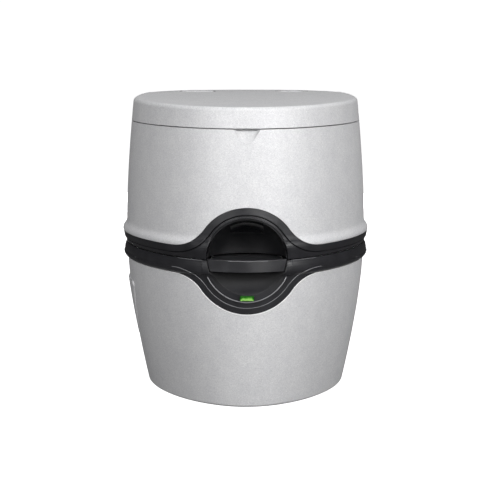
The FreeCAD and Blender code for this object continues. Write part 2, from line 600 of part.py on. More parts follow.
# floor tray that closes the water tank, round the outlet spigot
tray = plan_loft([(226, 182.2), (248, 182.2)]).cut(plan_loft([(229.5, 179.2), (249, 179.2)]))
dome_room = Part.Face(ellipse_wire(0, DOME_Y, 220, dim("dome_edge") + 0.4, dim("dome_depth") - 7))
tray = tray.cut(dome_room.extrude(Vector(0, 0, 40))).cut(rod(*outlet, 220, 47.1, 20))
hook_slot = block(slide_x - 6, slide_x + 16, 196.6, 205.4, 220, 232.2)
tray = tray.cut(hook_slot)
floor_spots = [on_circle(1, a) for a in (35, 90 + 35, 180 + 30, 360 - 30)]
floor_spots = [(150 * x, 20 + 130 * y) for x, y in floor_spots]
tray = tray.cut(Part.makeCompound([rod(x, y, 220, 1.9, 12) for x, y in floor_spots]))
feature("flush_tank_floor", tray)
posts = Part.makeCompound([tube(x, y, 229.5, 6, 1.9, 20) for x, y in floor_spots])
feature("floor_posts", posts)
feature("floor_screws", Part.makeCompound(
    [screw(x, y, 226, 20, 1.9, 3.4, False) for x, y in floor_spots]))
hood = block(slide_x - 9, slide_x + 26, 195, 206.8, 229.5, 241)
hood = hood.cut(block(slide_x - 7.5, slide_x + 24.5, 196.6, 205.4, 232, 239.5)).cut(hook_slot)
feature("latch_keeper", hood)

# upper trim band: ring and arch, open round the hand recess
upper_outer = plan_loft(UPPER_BAND)
upper_inner = plan_loft([(SEAM_HIGH - 1, 182.7), (243, 182.7), (258, 180.6), (306, 179.0)])
trim = upper_outer.cut(upper_inner).common(UPPER_REGION)
trim = trim.cut(rod(0, -FAR, CENTRE_Z, dim("dome_edge"), FAR - 120, (0, 1, 0)))
trim = trim.cut(handle_gap(0.8))
ribbon = dim("upper_ribbon")
ribbon_line = (dim("upper_arch") - ribbon, dim("upper_fillet") + ribbon, TOP_EDGE - ribbon, 1)
trim = trim.cut(sunk_panel(UPPER_BAND, *ribbon_line, dim("dome_edge") + dim("rim_width")))
trim = trim.cut(edge_groove(UPPER_BAND, *ribbon_line))
feature("upper_trim_band", trim)

liner = dome(2.4).cut(dome(0)).common(plan_loft([(226.2, 187.0), (300, 183.0)]))
window_patch = block(-24, 24, -212, 0, 258, 278)
feature("flush_level_window", liner.common(window_patch))
feature("hand_recess_liner", liner.cut(window_patch))

bowl = ellipse_loft(BOWL).fuse(rod(*outlet, 223.8, 47, 12))
bowl = bowl.fuse(ellipse_loft([(RIM, -42, 117, 143), (RIM + 1.5, -42, 116, 142)]))
inside = ellipse_loft([(z, y, half_x - 3, half_y - 3) for z, y, half_x, half_y in BOWL])
inside = inside.fuse(rod(*outlet, 220, 44, 16)).fuse(
    ellipse_loft([(RIM, -42, 109, 135), (RIM + 2, -42, 110, 136)]))
nozzle_z = 385.0
bowl = bowl.cut(inside).cut(rod(0, 120, nozzle_z, 7, 50, (0, -1, 0)))
feature("bowl", bowl)
feature("outlet_seal", tube(*outlet, 224.3, 50.5, 47, 1.6))

# pump at the left of the rear deck
pump = service[0]
cylinder = tube(*pump, 262, dim("pump_radius"), 17, 174)
cylinder = cylinder.fuse(rod(*pump, 260, dim("pump_radius"), 3).cut(rod(*pump, 255, 4, 20)))
cylinder = cylinder.fuse(tube(*pump, 434, 30.4, dim("rod_radius") + dim("pin_fit"), 2))
cylinder = cylinder.fuse(tube(*pump, 434, 30.4, dim("well_radius"), deck_top - 434 - 0.2))
cylinder = cylinder.cut(rod(*pump, 385, 5, 25, (1, 0, 0)))
feature("pump_cylinder", cylinder)
knob = rod(*pump, 437, dim("knob_radius"), dim("knob_top") - 437)
knob = knob.makeFillet(1.2, [edge for edge in knob.Edges if edge.BoundBox.ZMin > 440])
feature("pump_knob", knob.cut(rod(*pump, 430, 4, 14)))
piston = rod(*pump, 300, dim("rod_radius"), 137).fuse(rod(*pump, 437, 4, 7))
piston = piston.fuse(rod(*pump, 290, 16.4, 12)).cut(tube(*pump, 294, 20, 14.5, 4))
feature("pump_piston", piston)
feature("piston_seal", tube(*pump, 294, 16.94, 14.5, 4))
suction = tube(*pump, 237, 5, 3.2, 23)
feature("suction_tube", suction)
strainer = tube(*pump, 231, 9, 5, 9)
for i in range(8):
    x, y = on_circle(9, i * 45, pump)
    strainer = strainer.cut(block(x - 0.8, x + 0.8, y - 0.8, y + 0.8, 232.5, 238))
feature("suction_strainer", strainer)
bend = 20.0
hose_path = Part.Wire([
    Part.LineSegment(Vector(pump[0] + 17.5, pump[1], nozzle_z), Vector(-bend, pump[1], nozzle_z)).toShape(),
    Part.Arc(Vector(-bend, pump[1], nozzle_z),
             Vector(-bend + bend * math.sin(math.pi / 4), pump[1] - bend * (1 - math.cos(math.pi / 4)), nozzle_z),
             Vector(0, pump[1] - bend, nozzle_z)).toShape(),
    Part.LineSegment(Vector(0, pump[1] - bend, nozzle_z), Vector(0, 104, nozzle_z)).toShape(),
])
hose_start = Vector(pump[0] + 17.5, pump[1], nozzle_z)
hose_ring = Part.Wire([Part.Circle(hose_start, Vector(1, 0, 0), 5.0).toShape()])
hose_bore = Part.Wire([Part.Circle(hose_start, Vector(1, 0, 0), 3.4).toShape()])
hose = hose_path.makePipeShell([hose_ring], True, False).cut(
    hose_path.makePipeShell([hose_bore], True, False))
feature("flush_hose", hose)
nozzle = rod(0, 104, nozzle_z, 7, 21, (0, -1, 0)).cut(rod(0, 105, nozzle_z, 3.4, 18, (0, -1, 0)))
nozzle = nozzle.cut(block(-12, 12, 84, 86.5, nozzle_z - 2, nozzle_z + 2))
feature("rim_nozzle", nozzle)

# filler at the right of the rear deck
filler = service[1]
collar = dim("cap_well") + 1.4
neck = tube(*filler, 405, 24, 21, 35).fuse(tube(*filler, 434, collar, 21, 6))
neck = neck.fuse(tube(*filler, 434, collar, dim("cap_well"), deck_top - 434 - 0.2))
feature("filler_neck", neck)
cap = rod(*filler, 441.2, dim("cap_radius"), 6.0).fuse(rod(*filler, 424, 20.4, 18))
cap = cap.cut(rod(*filler, 420, 17.5, 20))
for side in (-1, 1):
    hollow_half = rod(*filler, 443.4, 21, 10).common(
        block(filler[0] - 30, filler[0] + 30, filler[1] + (4 if side > 0 else -30),
              filler[1] + (30 if side > 0 else -4), 440, 460))
    cap = cap.cut(hollow_half)
feature("fill_cap", cap)
feature("fill_cap_seal", tube(*filler, 440.1, 25, 21.2, 1.1))

# ---------------------------------------------------------------- hinge, seat and lid
hinge_y, hinge_z = dim("hinge_y"), dim("hinge_z")
knuckle, pin_radius = dim("knuckle"), dim("pin_radius")
pin_bore = pin_radius + dim("pin_fit")


def both_sides(shape):
    return Part.makeCompound([shape, shape.mirror(Vector(0, 0, 0), Vector(1, 0, 0))])


def knuckle_at(x0, x1, radius=knuckle):
    return rod(x0, hinge_y, hinge_z, radius, x1 - x0, (1, 0, 0))


post = block(66, 78, hinge_y - 6, hinge_y + 6, RIM, hinge_z).fuse(knuckle_at(66, 78))
post = post.fuse(block(60, 84, hinge_y - 10, hinge_y + 9, RIM, RIM + 2.4))
post = post.cut(knuckle_at(60, 84, pin_radius))
bracket_spots = [(63, hinge_y), (81, hinge_y)]
post = post.cut(Part.makeCompound([rod(x, y, RIM - 1, 1.5, 9) for x, y in bracket_spots]))
feature("hinge_brackets", both_sides(post))
feature("hinge_pins", both_sides(knuckle_at(53, 89, pin_radius)))
spots = bracket_spots + [(-x, y) for x, y in bracket_spots]
casing_node = next(node for node in NODES if node.Label == "upper_casing")
casing_node.Shape = casing_node.Shape.cut(
    Part.makeCompound([rod(x, y, RIM - 9, 1.5, 12) for x, y in spots]))
feature("bracket_screws", Part.makeCompound(
    [screw(x, y, RIM + 2.4, 7, 1.5, 2.6) for x, y in spots]))

seat_low, seat_top = dim("seat_low"), dim("seat_top")
seat = plan_loft([(seat_low, 167.0), (seat_low + 2, 168.2), (seat_low + 8, 168.2),
                  (seat_top - 4.5, 167.4), (seat_top - 2.4, 166.0), (seat_top - 0.9, 163.8),
                  (seat_top, 160.5)])
opening = ellipse_loft([(seat_low - 1, -44, 108, 124), (seat_low + 4, -44, 105, 121),
                        (seat_low + 9, -44, 105.2, 121.2), (seat_top + 1, -44, 110, 126)], True)
seat = seat.cut(opening).cut(block(-FAR, FAR, 92, FAR, 400, 440))
arm_points = [(76, seat_top - 6), (93.5, seat_low + 3.3), (hinge_y + 4, hinge_z - 4),
              (hinge_y - 3, hinge_z + 4.4), (74, seat_top - 1.6)]
arm_face = Part.Face(Part.makePolygon([Vector(54, y, z) for y, z in arm_points + arm_points[:1]]))
seat_arm = arm_face.extrude(Vector(10, 0, 0)).fuse(knuckle_at(54, 64))
arms = both_sides(seat_arm.cut(knuckle_at(50, 70, pin_bore)))
feature("seat", seat.fuse(arms.Solids).cut(both_sides(knuckle_at(50, 70, pin_bore))))
pads = [(122, -108), (140, 40)]
seat_pad = [block(x - 8, x + 8, y - 5, y + 5, RIM + 0.4, seat_low) for x, y in pads]
feature("seat_bumpers", both_sides(Part.makeCompound(seat_pad)))

slope = (dim("deck_top") + 0.6 - dim("lid_front_top")) / (dim("lid_rear") - front_y(174.0))


def below_plane(drop):
    """Everything under the lid's gently sloping top, lowered by `drop`."""
    y0, y1 = -FAR, FAR
    z0, z1 = (dim("lid_front_top") + slope * (y - front_y(174.0)) - drop for y in (y0, y1))
    wire = Part.makePolygon([Vector(-FAR, y0, 0), Vector(-FAR, y1, 0), Vector(-FAR, y1, z1),
                             Vector(-FAR, y0, z0), Vector(-FAR, y0, 0)])
    return Part.Face(wire).extrude(Vector(2 * FAR, 0, 0))


lid_outer = casing_loft(dim("lid_bottom"), 462, 0, 3).common(below_plane(0))
lid_outer = lid_outer.makeFillet(6.0, [edge for edge in lid_outer.Edges
                                       if edge.BoundBox.ZMin > dim("lid_front_top") - 1])
lid_inner = casing_loft(dim("lid_bottom") - 3, 462, 3.0, 3).common(below_plane(3.6))
lid = lid_outer.cut(lid_inner).cut(block(-FAR, FAR, dim("lid_rear"), FAR, 400, 470))
swing = block(-FAR, FAR, hinge_y, FAR, 400, hinge_z).cut(knuckle_at(-FAR, FAR, 25.4))
rear_round = block(-FAR, FAR, hinge_y, FAR, hinge_z, 470).cut(knuckle_at(-FAR, FAR, 14.0))
lid = lid.cut(swing).cut(rear_round)
lug = block(80, 88, hinge_y - 6, hinge_y + 6, hinge_z, 446.5).fuse(knuckle_at(80, 88))
lug = lug.common(below_plane(1.5)).cut(knuckle_at(70, 95, pin_bore))
feature("lid", lid.fuse(both_sides(lug).Solids))
lid_pad = block(118, 134, -105, -93, seat_top + 0.6, 443)
lid_pads = lid_pad.common(below_plane(3.6))
feature("lid_bumpers", both_sides(lid_pads))

# ---------------------------------------------------------------- checks and files
doc.recompute()
for obj in doc.Objects:
    assert not {"Invalid", "Error"} & set(obj.State), "failed: " + obj.Label
for node in NODES:
    shape = node.Shape
    assert not shape.isNull() and shape.isValid() and shape.Solids, "bad shape: " + node.Label

os.makedirs("parts", exist_ok=True)
for node in NODES:
    node.Shape.exportStep("parts/%s.step" % node.Label)
    box = node.Shape.BoundBox
    print("%-20s solids %d  volume %9.1f  x %.1f %.1f  y %.1f %.1f  z %.1f %.1f" % (
        node.Label, len(node.Shape.Solids), node.Shape.Volume, box.XMin, box.XMax,
        box.YMin, box.YMax, box.ZMin, box.ZMax))
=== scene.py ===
import bmesh
import bpy
import json
import math
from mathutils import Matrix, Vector
from mathutils.bvhtree import BVHTree


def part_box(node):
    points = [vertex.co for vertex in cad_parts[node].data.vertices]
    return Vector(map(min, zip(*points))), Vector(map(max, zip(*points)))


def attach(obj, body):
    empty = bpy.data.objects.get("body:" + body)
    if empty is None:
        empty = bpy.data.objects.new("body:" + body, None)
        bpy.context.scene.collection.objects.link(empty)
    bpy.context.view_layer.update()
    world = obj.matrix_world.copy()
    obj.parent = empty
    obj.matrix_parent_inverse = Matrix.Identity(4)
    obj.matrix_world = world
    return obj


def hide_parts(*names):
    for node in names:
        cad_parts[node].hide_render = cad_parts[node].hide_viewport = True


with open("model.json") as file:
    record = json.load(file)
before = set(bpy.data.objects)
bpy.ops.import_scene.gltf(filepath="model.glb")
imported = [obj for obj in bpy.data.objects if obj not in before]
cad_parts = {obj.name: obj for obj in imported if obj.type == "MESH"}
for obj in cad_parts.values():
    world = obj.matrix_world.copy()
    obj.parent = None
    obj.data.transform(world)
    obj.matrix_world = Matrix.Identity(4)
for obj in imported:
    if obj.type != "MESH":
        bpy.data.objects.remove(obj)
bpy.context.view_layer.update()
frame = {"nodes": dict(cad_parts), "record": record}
NODES = frame["nodes"]


# ---------------------------------------------------------------- object helpers
def placed(name, data):
    """A new object in the scene for a mesh, curve, light or camera."""
    obj = bpy.data.objects.new(name, data)
    bpy.context.scene.collection.objects.link(obj)
    return obj


def from_shape(name, shape, finish):
    """A new mesh object made from a finished bmesh, which is freed."""
    mesh = bpy.data.meshes.new(name)
    shape.to_mesh(mesh)
    shape.free()
    obj = placed(name, mesh)
    mesh.materials.append(finish)
    return obj


def joined_rings(shape, one, two):
    """Faces that join two closed rings of the same number of vertices."""
    for i in range(len(one)):
        j = (i + 1) % len(one)
        shape.faces.new((one[i], one[j], two[j], two[i]))


# ---------------------------------------------------------------- shader node helpers
def material(name):
    """An empty node material with its shader, output and object coordinates."""
    mat = bpy.data.materials.new(name)
    mat.use_nodes = True
    tree = mat.node_tree
    tree.nodes.clear()
    shader = tree.nodes.new("ShaderNodeBsdfPrincipled")
    out = tree.nodes.new("ShaderNodeOutputMaterial")
    where = tree.nodes.new("ShaderNodeTexCoord")
    tree.links.new(shader.outputs["BSDF"], out.inputs["Surface"])
    return mat, tree, shader, where.outputs["Object"]


def noise(tree, where, scale, detail=2.0, roughness=0.5):
    """Soft cloudy noise, as a value."""
    node = tree.nodes.new("ShaderNodeTexNoise")
    node.inputs["Scale"].default_value = scale
    node.inputs["Detail"].default_value = detail
    node.inputs["Roughness"].default_value = roughness
    tree.links.new(where, node.inputs["Vector"])
    return node.outputs["Fac"]


def cells(tree, where, scale):
    """A random grey for each small cell."""
    node = tree.nodes.new("ShaderNodeTexVoronoi")
    node.inputs["Scale"].default_value = scale
    tree.links.new(where, node.inputs["Vector"])
    grey = tree.nodes.new("ShaderNodeSeparateColor")
    tree.links.new(node.outputs["Color"], grey.inputs["Color"])
    return grey.outputs["Red"]


def ramp(tree, value, stops):
    """A colour ramp through (position, grey or colour) stops."""
    node = tree.nodes.new("ShaderNodeValToRGB")
    elements = node.color_ramp.elements
    elements.remove(elements[0])
    for index, (place, colour) in enumerate(stops):
        element = elements[0] if index == 0 else elements.new(place)
        element.position = place
        if isinstance(colour, float):
            colour = (colour, colour, colour)
        element.color = (*colour, 1.0)
    tree.links.new(value, node.inputs["Fac"])
    return node.outputs["Color"]


def mixed(tree, factor, one, two, how="MIX"):
    """Two colours mixed by a number or by a value from another node."""
    node = tree.nodes.new("ShaderNodeMix")
    node.data_type = "RGBA"
    node.blend_type = how
    if isinstance(factor, float):
        node.inputs[0].default_value = factor
    else:
        tree.links.new(factor, node.inputs[0])
    tree.links.new(one, node.inputs[6])
    tree.links.new(two, node.inputs[7])
    return node.outputs[2]


def math_node(tree, how, one, two=0.0):
    """One step of arithmetic on values that are numbers or come from other nodes."""
    node = tree.nodes.new("ShaderNodeMath")
    node.operation = how
    for socket, value in zip(node.inputs, (one, two)):
        if isinstance(value, float):
            socket.default_value = value
        else:
            tree.links.new(value, socket)
    return node.outputs[0]


def weighted(tree, one, share_one, two, share_two):
    """Two values added, each taken by its share."""
    return math_node(tree, "ADD", math_node(tree, "MULTIPLY", one, share_one),
                     math_node(tree, "MULTIPLY", two, share_two))


def map_range(tree, value, source, target=(0.0, 1.0)):
    """A value carried from one range to another and held at both ends."""
    node = tree.nodes.new("ShaderNodeMapRange")
    for label, number in zip(("From Min", "From Max", "To Min", "To Max"), (*source, *target)):
        node.inputs[label].default_value = number
    tree.links.new(value, node.inputs["Value"])
    return node.outputs["Result"]


def split(tree, vector):
    """The X, Y and Z of a vector."""
    node = tree.nodes.new("ShaderNodeSeparateXYZ")
    tree.links.new(vector, node.inputs["Vector"])
    return node.outputs


def bumped(tree, shader, height, strength, distance, edge=0.0):
    """A bump from `height`; `edge` is the radius by which sharp edges look softened."""
    bump = tree.nodes.new("ShaderNodeBump")
    bump.inputs["Strength"].default_value = strength
    bump.inputs["Distance"].default_value = distance
    tree.links.new(height, bump.inputs["Height"])
    if edge:
        bevel = tree.nodes.new("ShaderNodeBevel")
        bevel.samples = 6
        bevel.inputs["Radius"].default_value = edge
        tree.links.new(bevel.outputs["Normal"], bump.inputs["Normal"])
    tree.links.new(bump.outputs["Normal"], shader.inputs["Normal"])


# ---------------------------------------------------------------- finishes
GRAIN_DEPTH = 0.0002


def plastic(name, dark, light, rough, grain=900.0, spread=60.0, bump=0.12, edge=0.0006,
            specular=0.5, coat=0.0):
    """Moulded plastic: slow mottling and a fine spark-eroded grain."""
    mat, tree, shader, where = material(name)
    slow = noise(tree, where, spread, 3.0)
    fine = noise(tree, where, grain, 2.0, 0.6)
    tree.links.new(ramp(tree, weighted(tree, slow, 0.6, fine, 0.4), [(0.35, dark), (0.65, light)]),
                   shader.inputs["Base Color"])
    tree.links.new(ramp(tree, slow, [(0.3, rough - 0.05), (0.7, rough + 0.05)]),
                   shader.inputs["Roughness"])
    shader.inputs["Specular IOR Level"].default_value = specular
    shader.inputs["Coat Weight"].default_value = coat
    bumped(tree, shader, fine, bump, GRAIN_DEPTH, edge)
    return mat


def pearl(name):
    """Pale pearl plastic: a warm grey base with light and dark flakes moulded in."""
    mat, tree, shader, where = material(name)
    flakes = cells(tree, where, 1500.0)
    speck = weighted(tree, flakes, 0.55, cells(tree, where, 800.0), 0.45)
    base = ramp(tree, speck, [(0.0, (0.52, 0.52, 0.53)), (0.35, (0.61, 0.61, 0.62)),
                              (0.7, (0.66, 0.66, 0.665)), (1.0, (0.76, 0.76, 0.76))])
    cloud = noise(tree, where, 45.0, 4.0)
    tint = ramp(tree, cloud, [(0.3, (0.94, 0.94, 0.95)), (0.7, (1.0, 1.0, 1.0))])
    tree.links.new(mixed(tree, 1.0, base, tint, "MULTIPLY"), shader.inputs["Base Color"])
    tree.links.new(ramp(tree, flakes, [(0.0, 0.70), (1.0, 0.54)]), shader.inputs["Roughness"])
    shader.inputs["Metallic"].default_value = 0.20
    shader.inputs["Specular IOR Level"].default_value = 0.30
    bumped(tree, shader, noise(tree, where, 1100.0), 0.10, GRAIN_DEPTH, 0.0007)
    return mat


def lens(name, colour, rough):
    """Tinted clear plastic with faint moulding streaks."""
    mat, tree, shader, where = material(name)
    streaks = noise(tree, where, 220.0)
    deep = tuple(c * 0.55 for c in colour)
    tree.links.new(ramp(tree, streaks, [(0.3, deep), (0.7, colour)]), shader.inputs["Base Color"])
    shader.inputs["Roughness"].default_value = rough
    shader.inputs["Transmission Weight"].default_value = 0.55
    shader.inputs["IOR"].default_value = 1.49
    return mat


def steel(name):
    """Bright steel with a fine brushed grain."""
    mat, tree, shader, where = material(name)
    stretch = tree.nodes.new("ShaderNodeMapping")
    stretch.inputs["Scale"].default_value = (1.0, 1.0, 0.05)
    tree.links.new(where, stretch.inputs["Vector"])
    grain = noise(tree, stretch.outputs["Vector"], 2500.0, 3.0)
    tree.links.new(ramp(tree, grain, [(0.3, (0.50, 0.51, 0.52)), (0.7, (0.66, 0.67, 0.68))]),
                   shader.inputs["Base Color"])
    tree.links.new(ramp(tree, grain, [(0.3, 0.22), (0.7, 0.36)]), shader.inputs["Roughness"])
    shader.inputs["Metallic"].default_value = 1.0
    bumped(tree, shader, grain, 0.08, 0.0001)
    return mat


CHARCOAL = {"dark": (0.012, 0.012, 0.014), "light": (0.021, 0.021, 0.024), "rough": 0.38,
            "bump": 0.10, "edge": 0.0009}
BLACK = {"dark": (0.003, 0.003, 0.004), "light": (0.006, 0.006, 0.007)}
FINISH = {
    "pearl_silver": pearl("pearl_silver"),
    "charcoal": plastic("charcoal", **CHARCOAL),
    # near-black painted shade for the recess liner, the sheet inside the recess and the groove
    # line
    "recess_painted_shade": plastic("recess_painted_shade", **BLACK, rough=0.5, bump=0.10, edge=0.0009,
                            specular=0.25),
    # lighter than the pearl: a painted highlight along the rounded edge of the tank
    "tank_edge_painted_highlight": plastic("tank_edge_painted_highlight", (0.80, 0.80, 0.80), (0.86, 0.86, 0.86), 0.30, bump=0.05),
    # much lighter than the charcoal: a painted highlight along rounded edges of the charcoal
    # mouldings
    "edge_painted_highlight": plastic("edge_painted_highlight", (0.17, 0.17, 0.18), (0.23, 0.23, 0.24), 0.18, bump=0.05),
    "black_plastic": plastic("black_plastic", **BLACK, rough=0.42, specular=0.3),
    "bowl_white": plastic("bowl_white", (0.74, 0.74, 0.72), (0.80, 0.80, 0.78), 0.20, bump=0.03,
                          coat=0.3),
    "white_plastic": plastic("white_plastic", (0.66, 0.66, 0.65), (0.74, 0.74, 0.73), 0.38),
    "green_plastic": plastic("green_plastic", (0.10, 0.36, 0.05), (0.16, 0.48, 0.08), 0.35),
    "green_lens": lens("green_lens", (0.30, 0.78, 0.14), 0.12),
    "smoked_lens": lens("smoked_lens", (0.020, 0.021, 0.024), 0.10),
    "seal_rubber": plastic("seal_rubber", (0.012, 0.012, 0.012), (0.022, 0.022, 0.022), 0.70,
                           bump=0.2),
    "hose": plastic("hose", (0.55, 0.57, 0.58), (0.66, 0.68, 0.69), 0.30),
    "steel": steel("steel"),
}

LOOK_OF = {row["node"]: row["material_slot"] for row in frame["record"]["subparts"]}
LOOK_OF["hand_recess_liner"] = "recess_painted_shade"   # painted shade: it keeps its slot but is drawn near-black, deep in shade
for name, obj in NODES.items():
    obj.data.materials.clear()
    obj.data.materials.append(FINISH[LOOK_OF[name]])

# ---------------------------------------------------------------- painted shade in the dish below the handle
RECESS_Z = 0.226                  # height of the centre of the round recess
DISH_SHADE = (0.176, 0.196)       # heights between which the painted shade darkens the dish
DISH_EDGE = (0.060, 0.056)        # radii between which its rim fades into the painted shade
DISH_PAINTED_SHADE = (0.0015, 0.0015, 0.002, 1.0)
DISH_DULL = (CHARCOAL["rough"], 0.85)


def painted_shade_dish(name):
    """Charcoal whose dish is painted darker and duller towards the handle: painted shade where the
    handle shades it.
    """
    mat = plastic(name, **CHARCOAL)
    tree = mat.node_tree
    shader = next(node for node in tree.nodes if node.type == "BSDF_PRINCIPLED")
    colour = shader.inputs["Base Color"].links[0].from_socket
    where = split(tree, tree.nodes.new("ShaderNodeTexCoord").outputs["Object"])
    up = math_node(tree, "SUBTRACT", where["Z"], RECESS_Z)
    away = math_node(tree, "SQRT", math_node(
        tree, "ADD", math_node(tree, "MULTIPLY", where["X"], where["X"]),
        math_node(tree, "MULTIPLY", up, up)))
    dark = math_node(tree, "MULTIPLY", map_range(tree, where["Z"], DISH_SHADE),
                     map_range(tree, away, DISH_EDGE))
    black = tree.nodes.new("ShaderNodeRGB")
    black.outputs[0].default_value = DISH_PAINTED_SHADE
    tree.links.new(mixed(tree, dark, colour, black.outputs[0]), shader.inputs["Base Color"])
    tree.links.new(map_range(tree, dark, (0.0, 1.0), DISH_DULL), shader.inputs["Roughness"])
    return mat


NODES["lower_trim_band"].data.materials[0] = painted_shade_dish("dish_charcoal_painted_shade")


# ---------------------------------------------------------------- fine edges of the mouldings, with painted highlights and painted shade
IN_FRONT = -1.0                   # y from which the lines of sight start


def front_points(node, path):
    """The points, with normals, where lines of sight from the front meet a node."""
    tree = BVHTree.FromObject(NODES[node], bpy.context.evaluated_depsgraph_get())
    hits = [tree.ray_cast(Vector((x, IN_FRONT, z)), Vector((0, 1, 0))) for x, z in path]
    return [(place, normal) for place, normal, _index, _distance in hits if place]


def arc(radius, start, end, steps=90):
    """(x, z) points round the recess centre; angles in degrees from +X towards +Z."""
    turn = [math.radians(start + (end - start) * i / steps) for i in range(steps + 1)]
    return [(radius * math.cos(a), RECESS_Z + radius * math.sin(a)) for a in turn]


def mirrored(path):
    """The same line on the other side of the middle plane."""
    return [(-x, z) for x, z in reversed(path)]


def arched_line(radius, fillet, flat, upward, reach, steps=40):
    """An edge line in (x, z): level, a tangent fillet, over the arch and out again."""
    rise = abs(flat - RECESS_Z)
    foot = math.sqrt((radius + fillet) ** 2 - (rise + fillet) ** 2)
    lean = math.atan2(rise + fillet, foot)
    turn = [-math.pi / 2 - (math.pi / 2 - lean) * i / steps for i in range(steps + 1)]
    right = [(reach, flat)] + [
        (foot + fillet * math.cos(a), RECESS_Z + upward * (rise + fillet + fillet * math.sin(a)))
        for a in turn]
    turn = [lean + (math.pi - 2 * lean) * i / (2 * steps) for i in range(2 * steps + 1)]
    over = [(radius * math.cos(a), RECESS_Z + upward * radius * math.sin(a)) for a in turn]
    return right + over + mirrored(right)


def level_line(start, end, height):
    """A level row of (x, z) points 3 mm apart; `start` and `end` in millimetres."""
    return [(x / 1000, height) for x in range(start, end, 3)]


def bead(name, node, body, paths, radius, lift, finish, slot):
    """A thin rounded edge that follows lines on the front of a moulding."""
    curve = bpy.data.curves.new(name, "CURVE")
    curve.dimensions = "3D"
    curve.bevel_depth = radius
    curve.bevel_resolution = 3
    curve.use_fill_caps = True
    for path in paths:
        points = front_points(node, path)
        if len(points) < 2:
            continue
        spline = curve.splines.new("POLY")
        spline.points.add(len(points) - 1)
        for point, (place, normal) in zip(spline.points, points):
            point.co = (*(place + normal * lift), 1.0)
    curve.materials.append(FINISH[finish])
    obj = placed(name, curve)
    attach(obj, body)


RIBBON_LINE = arched_line(radius=0.0722, fillet=0.0593, flat=0.2085, upward=-1, reach=0.168)
GROOVE_LINE = arched_line(radius=0.0627, fillet=0.0695, flat=0.2301, upward=1, reach=0.180)
TANK_LINE = arched_line(radius=0.0823, fillet=0.0492, flat=0.1984, upward=-1, reach=0.176)
DISH_RIM = arc(0.0632, 206, 334)
DOME_RIM = arc(0.0592, 6, 174)
SEAM_LINE = level_line(64, 102, 0.2219)
HANDLE_LINE = level_line(-27, 31, 0.2236)

# the lighter beads paint highlights along the edges; the near-black line in the groove paints its
# shadow
# name, node it follows, body, lines, radius, lift above the surface, finish, slot
BEADS = [
    ("ribbon_edge_bead", "lower_trim_band", "root", [RIBBON_LINE], 0.0005, 0.0002,
     "edge_painted_highlight", "charcoal"),
    ("dish_rim_bead", "lower_trim_band", "root", [DISH_RIM], 0.0008, 0.0003,
     "edge_painted_highlight", "charcoal"),
    ("groove_shade", "upper_trim_band", "flush_unit", [GROOVE_LINE], 0.0008, 0.0001,
     "recess_painted_shade", "charcoal"),
    ("seam_bead", "lower_trim_band", "root", [SEAM_LINE, mirrored(SEAM_LINE)], 0.0004, 0.0001,
     "edge_painted_highlight", "charcoal"),
    ("handle_bead", "valve_handle", "valve", [HANDLE_LINE], 0.0004, 0.0001,
     "edge_painted_highlight", "charcoal"),
    ("tank_edge_bead", "waste_tank_shell", "root", [TANK_LINE], 0.0005, 0.0002,
     "tank_edge_painted_highlight", "pearl_silver"),
    ("dome_rim_bead", "upper_trim_band", "flush_unit", [DOME_RIM], 0.0006, 0.0001,
     "charcoal", "charcoal"),
]
for row in BEADS:
    bead(*row)

# (share of the rim's radius, depth behind the rim) round the section of the painted-shade sheet in
# the recess
WALL_SECTION = [(0.984, 0.0004), (0.984, 0.010), (0.987, 0.010), (0.987, 0.0004)]


def recess_shade_sheet(name):
    """A near-black sheet of painted shade just inside the arch of the recess, behind the rounded
    rim, over the lit inner wall of the moulding.
    """
    shape = bmesh.new()
    rows = [[shape.verts.new((place.x * share, place.y + back,
                              RECESS_Z + (place.z - RECESS_Z) * share))
             for share, back in WALL_SECTION]
            for place, normal in front_points("upper_trim_band", DOME_RIM)]
    for one, two in zip(rows, rows[1:]):
        joined_rings(shape, one, two)
    shape.faces.new(rows[0])
    shape.faces.new(rows[-1])
    bmesh.ops.recalc_face_normals(shape, faces=shape.faces)
    return from_shape(name, shape, FINISH["recess_painted_shade"])


shade_sheet = recess_shade_sheet("recess_shade_sheet")
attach(shade_sheet, "flush_unit")


# ---------------------------------------------------------------- level indicator lens
LIT_MIDDLE = 0.62                 # share of the half-width beyond which the ends are painted dark as shade
CORNER_STEPS = 6


def lens_painted_light(name, low, high):
    """Green lens over the lit drum, with painted light and shade: bright along its foot, dark
    along its top edge and ends, over faint streaks in the plastic.
    """
    mat, tree, shader, where = material(name)
    place = split(tree, where)
    cloud = math_node(tree, "SUBTRACT", noise(tree, where, 160.0), 0.5)
    shade_and_streaks = math_node(tree, "ADD", map_range(tree, place["Z"], (low.z, high.z)),
                       math_node(tree, "MULTIPLY", cloud, 0.5))
    ends = map_range(tree, math_node(tree, "ABSOLUTE", place["X"]), (high.x * LIT_MIDDLE, high.x))
    shaded = math_node(tree, "ADD", shade_and_streaks, math_node(tree, "MULTIPLY", ends, 0.55))
    colour = ramp(tree, shaded, [(0.0, (0.10, 0.30, 0.04)), (0.30, (0.27, 0.52, 0.13)),
                                 (0.55, (0.10, 0.33, 0.04)), (0.80, (0.010, 0.08, 0.006))])
    tree.links.new(colour, shader.inputs["Base Color"])
    tree.links.new(colour, shader.inputs["Emission Color"])
    # a faint painted glow, though the lens is no lamp
    shader.inputs["Emission Strength"].default_value = 0.05
    shader.inputs["Roughness"].default_value = 0.15
    return mat


